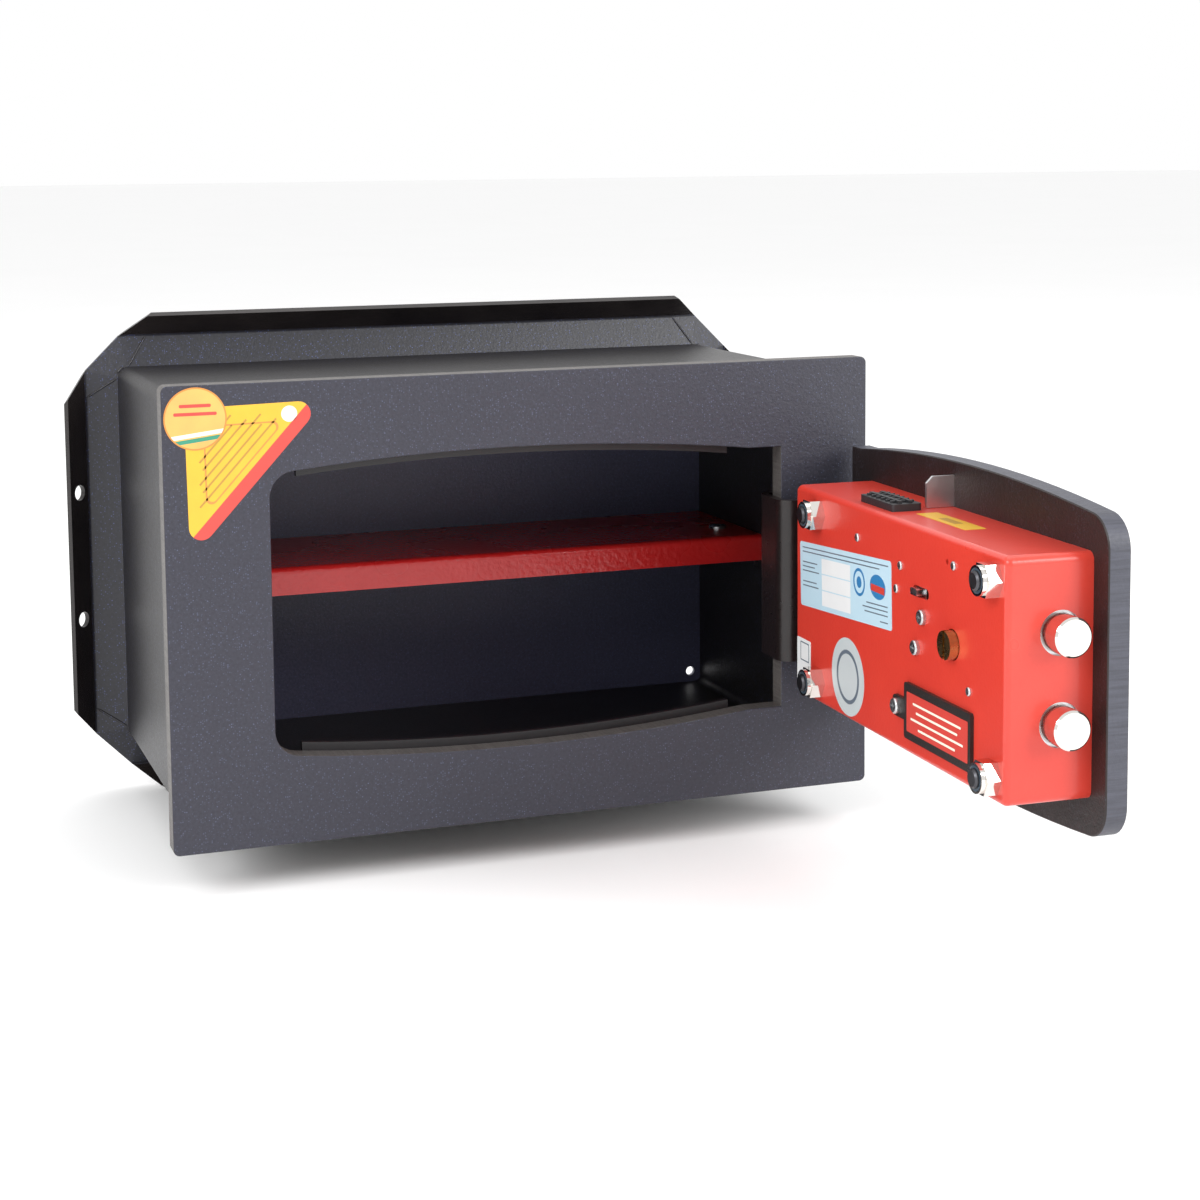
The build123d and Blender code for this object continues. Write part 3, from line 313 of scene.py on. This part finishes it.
spin = -swing
m = {
    "front": powder("front_coat", (0.034, 0.034, 0.050), (0.019, 0.019, 0.030), (0.42, 0.56), 700, 0.5,
                    speck=(0.10, 0.12, 0.20), edge=(0.11, 0.10, 0.095)),
    "shell": powder("shell_coat", (0.014, 0.012, 0.012), (0.008, 0.007, 0.007), (0.36, 0.50), 800, 0.25,
                    speck=(0.06, 0.07, 0.14)),
    "back": powder("back_coat", (0.075, 0.077, 0.135), (0.045, 0.046, 0.085), (0.34, 0.46), 700, 0.4,
                   speck=(0.10, 0.12, 0.26)),
    "gusset": powder("gusset_coat", (0.020, 0.020, 0.028), (0.011, 0.011, 0.016), (0.30, 0.44), 700, 0.35,
                     speck=(0.10, 0.13, 0.32)),
    "flange": rimmed("flange_coat", (0.020, 0.020, 0.028), (0.011, 0.011, 0.016), (0.10, 0.13, 0.32)),
    "stops": powder("stop_coat", (0.014, 0.012, 0.014), (0.008, 0.007, 0.008), (0.36, 0.5), 800, 0.2),
    "door": powder("door_coat", (0.016, 0.009, 0.008), (0.009, 0.005, 0.005), (0.40, 0.52), 700, 0.4,
                   speck=(0.06, 0.06, 0.085), edge=(0.065, 0.067, 0.088), turn_z=spin),
    "arm": powder("arm_coat", (0.013, 0.008, 0.008), (0.009, 0.006, 0.006), (0.24, 0.36), 600, 0.25),
    "red": peel("cover_red", (0.66, 0.050, 0.030), (0.58, 0.038, 0.024), (0.26, 0.36), 700, 0.10,
                Coat_Weight=0.2),
    "shelf": peel("shelf_red", (0.62, 0.020, 0.020), (0.50, 0.012, 0.012), (0.22, 0.32), 420, 0.6,
                  Coat_Weight=0.15),
    "bright": metal("nickel_plate", (0.80, 0.77, 0.73), (0.04, 0.10), (1, 1, 1), 300, 0.04, 0.9),
    "zinc": metal("zinc_plate", (0.66, 0.67, 0.68), (0.22, 0.38), (1, 1, 1), 420, 0.08, 0.78),
    "tab": metal("bright_tab", (0.86, 0.86, 0.87), (0.28, 0.42), (1, 1, 1), 420, 0.06, 0.9),
    "brass": turned("turned_brass", (0.62, 0.42, 0.17), door_m @ Vector((-0.0652, 0.041, 0.006))),
    "plug": turned("plug_brass", (0.66, 0.50, 0.24), door_m @ Vector((0.091, -0.0136, 0.004))),
    "nylon": plastic("grey_nylon", (0.055, 0.085, 0.115), (0.3, 0.42), 900, 0.06),
    "stud": metal("dark_stud", (0.10, 0.10, 0.11), (0.3, 0.5), (1, 1, 1), 500, 0.15, 0.7),
    "black": plastic("black_plastic", (0.022, 0.022, 0.025)),
    "bay": plastic("bay_plastic", (0.020, 0.014, 0.013), (0.35, 0.5)),
    "key": plastic("key_plastic", (0.30, 0.31, 0.33), (0.45, 0.6)),
    "digit": plastic("digit_ink", (0.02, 0.02, 0.022), (0.5, 0.6)),
    "lens": plastic("lens_plastic", (0.30, 0.012, 0.012), (0.08, 0.15), 500, 0.02, Coat_Weight=0.6),
    "board": plastic("solder_mask", (0.02, 0.10, 0.045), (0.25, 0.4), 300, 0.1),
    "wrap": plastic("battery_wrap", (0.05, 0.06, 0.16), (0.25, 0.35), 200, 0.04),
    "bead": metal("weld_bead", (0.16, 0.155, 0.16), (0.32, 0.5), (1, 1, 1), 900, 0.3, 0.7),
    "yellow": paper("label_yellow", (0.74, 0.43, 0.025), (0.72, 0.34, 0.02)),
    "amber": paper("label_amber", (0.60, 0.24, 0.04), (0.52, 0.19, 0.04)),
    "sun": paper("label_sun", (0.76, 0.42, 0.10), (0.72, 0.30, 0.09)),
    "coral": paper("label_coral", (0.60, 0.055, 0.04), (0.52, 0.04, 0.03)),
    "cream": paper("label_cream", (0.86, 0.82, 0.70), (0.80, 0.76, 0.62)),
    "teal": paper("label_teal", (0.03, 0.26, 0.16), (0.02, 0.22, 0.14)),
    "bronze": paper("label_bronze", (0.44, 0.24, 0.03), (0.40, 0.20, 0.03)),
    "sky": paper("label_sky", (0.50, 0.68, 0.78), (0.46, 0.63, 0.74)),
    "white": paper("label_white", (0.80, 0.81, 0.81), (0.74, 0.75, 0.76)),
    "grey": paper("label_grey", (0.52, 0.56, 0.57), (0.48, 0.52, 0.53)),
    "slate": paper("label_slate", (0.13, 0.16, 0.20), (0.10, 0.13, 0.17)),
    "blue": paper("label_blue", (0.03, 0.20, 0.44), (0.03, 0.17, 0.38)),
}

CAD_MATERIALS = {
    "front": ["front_plate"],
    "back": ["back_plate"],
    "shell": ["body_shell", "hinge_brackets", "shelf_brackets"],
    "gusset": ["flange_corners"],
    "flange": ["flange_top", "flange_bottom", "flange_left", "flange_right"],
    "stops": ["door_stops"],
    "door": ["door_plate"],
    "arm": ["hinge_arm"],
    "red": ["lock_cover"],
    "shelf": ["shelf"],
    "bright": ["locking_bolts", "cover_nuts", "hinge_pin", "knob_ring", "override_lock"],
    "stud": ["cover_studs"],
    "zinc": ["shelf_screws", "hinge_washers", "hinge_arm_screws", "cover_screws", "cover_rivets",
             "battery_door_screw",
             "bolt_screws", "bolt_carrier", "bolt_guide", "solenoid_body", "solenoid_plunger",
             "reset_lever", "pinion", "board_spacers"],
    "tab": ["cover_tab"],
    "brass": ["spindle"],
    "plug": ["lock_plug"],
    "nylon": ["nut_inserts"],
    "black": ["keypad_housing", "battery_tray", "cable_connector", "knob"],
    "bay": ["battery_door"],
    "key": [f"key_{k:02d}" for k in range(1, 13)],
    "lens": ["status_lens"],
    "board": ["circuit_board"],
    "wrap": ["battery"],
}
for slot_name, members in CAD_MATERIALS.items():
    for member in members:
        data = frame["nodes"][member].data
        data.materials.clear()
        data.materials.append(m[slot_name])


# ---------------------------------------------------------------- shapes for labels
def rounded(points, radius, steps=8):
    """A convex outline with its corners rounded."""
    out = []
    for i, p in enumerate(points):
        p = Vector(p)
        a, b = (Vector(points[i - 1]) - p).normalized(), (Vector(points[(i + 1) % len(points)]) - p).normalized()
        half = a.angle(b) / 2
        reach = radius / math.tan(half)
        centre = p + (a + b).normalized() * radius / math.sin(half)
        start, end = p + a * reach - centre, p + b * reach - centre
        sweep = start.angle(end)
        for k in range(steps + 1):
            t = k / steps
            w0, w1 = math.sin((1 - t) * sweep) / math.sin(sweep), math.sin(t * sweep) / math.sin(sweep)
            out.append(centre + start * w0 + end * w1)
    return out


def box_outline(x0, z0, x1, z1, radius=0.8):
    return rounded([(x0, z0), (x1, z0), (x1, z1), (x0, z1)], radius, 5)


def disc(x, z, radius, steps=64):
    return [Vector((x + radius * math.cos(a), z + radius * math.sin(a)))
            for a in (2 * math.pi * k / steps for k in range(steps))]


def clip(points, origin, normal):
    """The part of an outline on the side of a line that normal points to."""
    origin, normal = Vector(origin), Vector(normal)
    out = []
    for i, p in enumerate(points):
        q = points[(i + 1) % len(points)]
        dp, dq = (p - origin).dot(normal), (q - origin).dot(normal)
        if dp >= 0:
            out.append(p)
        if (dp >= 0) != (dq >= 0):
            out.append(p.lerp(q, dp / (dp - dq)))
    return out


def shrink(points, amount):
    """A convex outline given by few corners, moved in by amount."""
    middle = sum((Vector(p) for p in points), Vector((0, 0))) / len(points)
    lines = []
    for i, p in enumerate(points):
        p, q = Vector(p), Vector(points[(i + 1) % len(points)])
        n = Vector((-(q - p).y, (q - p).x)).normalized()
        if n.dot(middle - p) < 0:
            n = -n
        lines.append((p + n * amount, (q - p).normalized()))
    out = []
    for i, (p, d) in enumerate(lines):
        q, e = lines[i - 1]
        t = ((q - p).x * e.y - (q - p).y * e.x) / (d.x * e.y - d.y * e.x)
        out.append(p + d * t)
    return out


def add_mesh(name, verts, faces, material, body, smooth=False):
    mesh = bpy.data.meshes.new(name)
    mesh.from_pydata([tuple(v) for v in verts], [], faces)
    mesh.materials.append(material)
    mesh.update()
    if smooth:
        for face in mesh.polygons:
            face.use_smooth = True
    piece = bpy.data.objects.new(name, mesh)
    scene.collection.objects.link(piece)
    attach(piece, body)
    return piece


def outward_normals(mesh):
    bm = bmesh.new()
    bm.from_mesh(mesh)
    bmesh.ops.recalc_face_normals(bm, faces=bm.faces)
    bm.to_mesh(mesh)
    bm.free()


def patch(name, outline, place, material, body, base=0.03, thick=0.09):
    """A thin printed patch with this outline, lying on a face of the object."""
    n = len(outline)
    verts = [place(p.x, p.y, base) for p in outline] + [place(p.x, p.y, base + thick) for p in outline]
    sides = [(i, (i + 1) % n, n + (i + 1) % n, n + i) for i in range(n)]
    piece = add_mesh(name, verts, [tuple(range(n)), tuple(range(2 * n - 1, n - 1, -1)), *sides], material,
                     body)
    outward_normals(piece.data)
    return piece


def ring(name, outer, inner, place, material, body, base, thick=0.02):
    """A thin printed line between two outlines with the same number of points."""
    n = len(outer)
    verts = [place(p.x, p.y, d) for d in (base, base + thick) for p in (*outer, *inner)]
    faces = []
    for i in range(n):
        j = (i + 1) % n
        faces += [(i, j, n + j, n + i), (2 * n + i, 3 * n + i, 3 * n + j, 2 * n + j),
                  (i, 2 * n + i, 2 * n + j, j), (n + i, n + j, 3 * n + j, 3 * n + i)]
    piece = add_mesh(name, verts, faces, material, body)
    outward_normals(piece.data)
    return piece


# ---------------------------------------------------------------- front plate stickers
corner = [(-160, 94.8), (-96.4, 96.2), (-159, 27.8)]
triangle = rounded(corner, 5.6)
slope = (Vector(corner[1]) - Vector(corner[2])).normalized()
inward = Vector((-slope.y, slope.x))
patch("plate_sticker", triangle, on_plate, m["yellow"], "safe_body")
stripe = clip(triangle, Vector(corner[2]) + inward * 5.6, -inward)
patch("plate_sticker_stripe", stripe, on_plate, m["coral"], "safe_body", 0.13, 0.02)
ring("plate_sticker_line", rounded(shrink(corner, 8), 2.6), rounded(shrink(corner, 8.7), 2.2), on_plate,
     m["amber"],
     "safe_body", 0.13)
for k in range(7):
    lift = 11.5 + 3.3 * k
    first, last = 1.117 * lift + 7.5 + 2.2 * (k % 2), 92 - 0.895 * lift - 7 - 3 * ((k + 1) % 3)
    p, q = (Vector(corner[2]) + inward * lift + slope * t for t in (first, last))
    patch(f"plate_sticker_bar_{k}", [p, q, q + inward * 0.9, p + inward * 0.9], on_plate, m["bronze"],
          "safe_body",
          0.13, 0.02)
patch("plate_sticker_dot", disc(-113.5, 90.6, 3.6, 32), on_plate, m["cream"], "safe_body", 0.13, 0.02)
badge = (-155.2, 90.2)
patch("plate_badge", disc(*badge, 13.9), on_plate, m["amber"], "safe_body", 0.14, 0.09)
patch("plate_badge_face", disc(*badge, 13.2), on_plate, m["sun"], "safe_body", 0.24, 0.02)
face = disc(*badge, 13.2, 128)
for k, (level_z, tint) in enumerate(((-6.2, "cream"), (-8.6, "teal"))):
    band = clip(clip(face, (badge[0], badge[1] + level_z), (0.12, -1)),
                (badge[0], badge[1] + level_z - 1.8), (-0.12, 1))
    patch(f"plate_badge_band_{k}", band, on_plate, m[tint], "safe_body", 0.27, 0.02)
for k, (level_z, reach) in enumerate(((5, 7), (1.4, 9.5))):
    bar = box_outline(badge[0] - reach, badge[1] + level_z, badge[0] + reach, badge[1] + level_z + 1.5, 0.6)
    patch(f"plate_badge_bar_{k}", bar, on_plate, m["coral"], "safe_body", 0.27, 0.02)

# ---------------------------------------------------------------- cover labels
HINGE_EDGE = 118.55


def tilted(u0, w0, u1, w1):
    """The corners of part of the tilted label, from distances along and down from its upper hinge-side corner."""
    along, down = Vector((-99, 6.9)).normalized(), Vector((-0.035, -1)).normalized()
    start = Vector((HINGE_EDGE - 26, 23.2))
    return [start + along * a + down * b for a, b in ((u0, w0), (u1, w0), (u1, w1), (u0, w1))]


patch("cover_label", rounded(tilted(0, 0, 100, 30), 1.6, 5), on_cover, m["sky"], "door")
for k in range(3):
    patch(f"cover_label_field_{k}", tilted(25, 6 + 7.4 * k, 57, 12.9 + 7.4 * k), on_cover, m["white"],
          "door", 0.13, 0.02)
for k, (a, b, c) in enumerate(((3, 97, 2.2), (3, 88, 4.2), (3, 20, 9), (3, 17, 11), (3, 22, 13),
                               (3, 19, 18), (3, 21, 20),
                               (74, 96, 20), (70, 96, 22), (72, 96, 24), (88, 96, 27))):
    patch(f"cover_label_bar_{k}", tilted(a, c, b, c + 0.55), on_cover, m["slate"], "door", 0.13, 0.02)
spot = tilted(66.5, 12.4, 67, 13)[0]
ring("cover_label_ring", disc(spot.x, spot.y, 6.2, 48), disc(spot.x, spot.y, 4.9, 48), on_cover, m["blue"],
     "door", 0.13)
patch("cover_label_spot", disc(spot.x, spot.y, 2.6, 32), on_cover, m["blue"], "door", 0.13, 0.02)
spot = tilted(86, 12.6, 87, 13)[0]
oval = [Vector((spot.x + 8 * math.cos(a), spot.y + 5.4 * math.sin(a))) for a in (math.pi * k / 24 for k in range(48))]
patch("cover_label_oval", oval, on_cover, m["blue"], "door", 0.13, 0.02)
patch("cover_label_band", [Vector(p) for p in ((spot.x - 7, spot.y - 2.4), (spot.x + 7, spot.y - 2.4),
      (spot.x + 7, spot.y + 0.6), (spot.x - 7, spot.y + 0.6))], on_cover, m["coral"], "door", 0.16, 0.02)
patch("round_label", disc(HINGE_EDGE - 80.7, -29.7, 17.6, 96), on_cover, m["grey"], "door")
ring("round_label_line", disc(HINGE_EDGE - 80.7, -29.7, 12.2, 96), disc(HINGE_EDGE - 80.7, -29.7, 10.4, 96),
     on_cover,
     m["slate"], "door", 0.13)
patch("small_label", box_outline(HINGE_EDGE - 38.5, -46, HINGE_EDGE - 22.5, -22.5), on_cover, m["white"],
      "door")
ring("small_label_line", box_outline(HINGE_EDGE - 36.5, -33, HINGE_EDGE - 26.5, -24, 0.5),
     box_outline(HINGE_EDGE - 35.9, -32.4, HINGE_EDGE - 27.1, -24.6, 0.4), on_cover, m["slate"], "door",
     0.13)
patch("bay_label", box_outline(HINGE_EDGE - 201, -38.6, HINGE_EDGE - 145, -21.6, 0.5), on_bay, m["coral"],
      "door")
for k, inset_x in enumerate((6, 9, 4, 11)):
    patch(f"bay_label_bar_{k}", box_outline(HINGE_EDGE - 201 + inset_x, -26.2 - 3.4 * k,
                                            HINGE_EDGE - 145 - inset_x,
          -25.2 - 3.4 * k, 0.3), on_bay, m["cream"], "door", 0.13, 0.02)
patch("top_label", box_outline(HINGE_EDGE - 167, 13.5, HINGE_EDGE - 121, 23.5, 0.6), on_cover_top,
      m["yellow"], "door")
patch("top_label_bar", box_outline(HINGE_EDGE - 152, 16.5, HINGE_EDGE - 136, 20.5, 0.6), on_cover_top,
      m["bronze"], "door",
      0.13, 0.02)


# ---------------------------------------------------------------- welds and seams
def bead(name, start, end, radius, ripple, body, material="bead"):
    """A weld bead or ground seam from start to end, in metres, with overlapping ripples."""
    start, end = Vector(start), Vector(end)
    axis = (end - start).normalized()
    side = axis.cross(Vector((0.31, 0.53, 0.79))).normalized()
    other = axis.cross(side)
    length = (end - start).length
    count = max(12, int(length / (0.25 * radius)))
    around = 12
    verts, faces = [], []
    for k in range(count + 1):
        t = k / count
        swell = 1 - ripple * (0.5 + 0.5 * math.cos(2 * math.pi * t * length / (0.9 * radius)))
        taper = min(1.0, 6 * min(t, 1 - t) + 0.25)
        r = radius * swell * taper * (1 + 0.06 * rng.uniform(-1, 1))
        centre = start.lerp(end, t)
        for a in range(around):
            ang = 2 * math.pi * a / around
            verts.append(centre + side * r * math.cos(ang) + other * r * math.sin(ang))
    for k in range(count):
        for a in range(around):
            b = (a + 1) % around
            faces.append((k * around + a, k * around + b, (k + 1) * around + b, (k + 1) * around + a))
    faces += [tuple(range(around))[::-1], tuple(range(count * around, (count + 1) * around))]
    return add_mesh(name, verts, faces, m[material], body, smooth=True)


hw, hh, back = body_hi.x, body_hi.z, body_hi.y
for k, x in enumerate((-0.125, -0.045, 0.045, 0.125)):
    for nm, s in (("upper", 1), ("lower", -1)):
        bead(f"plate_weld_{nm}_{k}", (x - 0.016, 0.0012, s * hh), (x + 0.016, 0.0012, s * hh), 0.0022, 0.3,
             "safe_body")
for k, z in enumerate((-0.055, 0, 0.055)):
    for nm, s in (("right", 1), ("left", -1)):
        bead(f"plate_weld_{nm}_{k}", (s * hw, 0.0012, z - 0.014), (s * hw, 0.0012, z + 0.014), 0.0022, 0.3,
             "safe_body")
for sx in (-1, 1):
    for sz in (-1, 1):
        tag = f"{'right' if sx > 0 else 'left'}_{'upper' if sz > 0 else 'lower'}"
        bead(f"seam_a_{tag}", (sx * (hw - 0.0056), back, sz * hh),
             (sx * (hw - 0.0158), back + 0.0056, sz * (hh + 0.0155)),
             0.0006, 0.1, "safe_body", "flange")
        bead(f"seam_b_{tag}", (sx * hw, back, sz * (hh - 0.0056)),
             (sx * (hw + 0.0155), back + 0.0056, sz * (hh - 0.0158)),
             0.0006, 0.1, "safe_body", "flange")
        bead(f"seam_c_{tag}", (sx * (hw - 0.003), back - 0.0004, sz * hh),
             (sx * hw, back - 0.0004, sz * (hh - 0.003)),
             0.0009, 0.15, "safe_body", "flange")
eye_lo, eye_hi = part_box("hinge_brackets")
for nm, z in (("upper", eye_hi.z), ("lower", eye_lo.z)):
    bead(f"bracket_weld_{nm}", (eye_lo.x + 0.002, 0.0008, z), (eye_hi.x - 0.002, 0.0008, z), 0.0016, 0.3,
         "safe_body")


# ---------------------------------------------------------------- knob, keys and connector details
def slab(name, outline, place, d0, d1, material, body, bevel=0.0003):
    """A raised detail with softened edges."""
    piece = patch(name, outline, place, material, body, d0, d1 - d0)
    soften = piece.modifiers.new("edge", "BEVEL")
    soften.width, soften.segments, soften.limit_method, soften.angle_limit = bevel, 2, "ANGLE", math.radians(50)
    return piece


knob_x, knob_z = (knob_lo[0] + knob_hi[0]) / 2, (knob_lo[2] + knob_hi[2]) / 2
slab("knob_cap", disc(knob_x, knob_z, 15, 72), on_knob, -0.2, 0.5, m["zinc"], "knob")
slab("knob_pointer", box_outline(knob_x - 0.9, knob_z + 9, knob_x + 0.9, knob_z + 14, 0.5), on_knob, 0.4,
     0.8, m["white"],
     "knob", 0.0001)


def stroke(name, points, width, place, base, body):
    """A drawn line of this width through the points, for the figures on the keys."""
    verts, faces = [], []
    for i in range(len(points) - 1):
        p, q = Vector(points[i]), Vector(points[i + 1])
        d = (q - p).normalized()
        n = Vector((-d.y, d.x)) * width / 2
        p, q = p - d * width / 2, q + d * width / 2
        at = len(verts)
        lift = base + 0.004 * i
        verts += [place(c.x, c.y, lift) for c in (p + n, q + n, q - n, p - n)]
        verts += [place(c.x, c.y, lift + 0.05) for c in (p + n, q + n, q - n, p - n)]
        faces += [(at, at + 1, at + 2, at + 3), (at + 7, at + 6, at + 5, at + 4)]
        faces += [(at + a, at + 4 + a, at + 4 + (a + 1) % 4, at + (a + 1) % 4) for a in range(4)]
    return add_mesh(name, verts, faces, m["digit"], body)


FIGURES = {
    "1": [(-0.4, 0.6), (0.1, 1), (0.1, -1)],
    "2": [(-0.6, 0.6), (-0.3, 1), (0.3, 1), (0.6, 0.6), (0.5, 0.1), (-0.6, -1), (0.6, -1)],
    "3": [(-0.6, 1), (0.6, 1), (0, 0.2), (0.5, 0), (0.6, -0.5), (0.3, -1), (-0.3, -1), (-0.6, -0.6)],
    "4": [(0.3, -1), (0.3, 1), (-0.6, -0.4), (0.6, -0.4)],
    "5": [(0.5, 1), (-0.5, 1), (-0.5, 0.1), (0.2, 0.2), (0.6, -0.3), (0.4, -0.9), (-0.1, -1), (-0.6, -0.8)],
    "6": [(0.4, 1), (-0.4, 0.3), (-0.6, -0.4), (-0.3, -1), (0.3, -1), (0.6, -0.5), (0.3, 0), (-0.4, -0.1)],
    "7": [(-0.6, 1), (0.6, 1), (-0.1, -1)],
    "8": [(0, 0.1), (-0.5, 0.5), (-0.2, 1), (0.2, 1), (0.5, 0.5), (0, 0.1), (-0.6, -0.5), (-0.3, -1),
          (0.3, -1),
          (0.6, -0.5), (0, 0.1)],
    "9": [(0.5, 0.1), (-0.2, 0), (-0.6, 0.4), (-0.4, 0.9), (0.2, 1), (0.6, 0.6), (0.5, -0.1), (-0.1, -1)],
    "0": [(0, 1), (-0.5, 0.7), (-0.6, -0.5), (-0.2, -1), (0.2, -1), (0.6, -0.5), (0.5, 0.7), (0, 1)],
    "bar": [(-0.6, 0), (0.6, 0)],
    "tick": [(-0.6, 0), (-0.2, -0.5), (0.6, 0.6)],
}
for number, figure in enumerate(("1", "2", "3", "4", "5", "6", "7", "8", "bar", "9", "0", "tick"), start=1):
    lo, hi = shut_box(f"key_{number:02d}")
    middle = Vector(((lo[0] + hi[0]) / 2, (lo[2] + hi[2]) / 2))
    lines = [(middle.x + 2.3 * a, middle.y + 2.9 * b) for a, b in FIGURES[figure]]
    stroke(f"figure_{number:02d}", lines, 0.8,
           lambda a, b, d, face=lo[1]: door_m @ Vector((a * MM, (face - d) * MM, b * MM)), 0.01,
           f"key_{number:02d}")

mid_y = (link_lo[1] + link_hi[1]) / 2
for k in range(6):
    x = link_lo[0] + 5 + 4.8 * k
    slab(f"connector_rib_{k}", box_outline(x, mid_y - 5.6, x + 1.2, mid_y + 5.6, 0.4), on_cover_top, 3.1,
         4.2, m["black"],
         "door", 0.00015)

# ---------------------------------------------------------------- floor and light
floor_mesh = bpy.data.meshes.new("floor")
span = 25
floor_z = cad_box[0].z - 0.0005
floor_mesh.from_pydata([(x, y, floor_z) for x,
                        y in ((-span, -span), (span, -span), (span, span), (-span, span))], [],
                       [(0, 1, 2, 3)])
floor = bpy.data.objects.new("floor", floor_mesh)
scene.collection.objects.link(floor)
g = Graph("floor_white")
floor_mesh.materials.append(g.finish(g.mix(g.noise(3, 2), (0.93, 0.93, 0.93), (0.95, 0.95, 0.95)), 0.9))


def softbox(name, spot, target, width, height, power):
    light = bpy.data.lights.new(name, "AREA")
    light.shape, light.size, light.size_y, light.energy = "RECTANGLE", width, height, power
    lamp = bpy.data.objects.new(name, light)
    lamp.location = spot
    lamp.rotation_euler = (Vector(target) - Vector(spot)).to_track_quat("-Z", "Y").to_euler()
    scene.collection.objects.link(lamp)


softbox("key", (-2.1, -1.0, 1.5), (0, 0, 0), 1.6, 1.2, 38)
softbox("front_right", (1.7, -1.8, 1.1), (0.1, -0.1, 0), 1.3, 1.5, 46)
softbox("overhead", (0.1, 0.3, 2.1), (0, 0, 0), 2.2, 1.6, 14)
world = bpy.data.worlds.new("studio")
world.use_nodes = True
sky = world.node_tree.nodes["Background"]
sky.inputs["Color"].default_value, sky.inputs["Strength"].default_value = (1, 1, 1, 1), 1.0
scene.world = world
scene.view_settings.view_transform = "Standard"
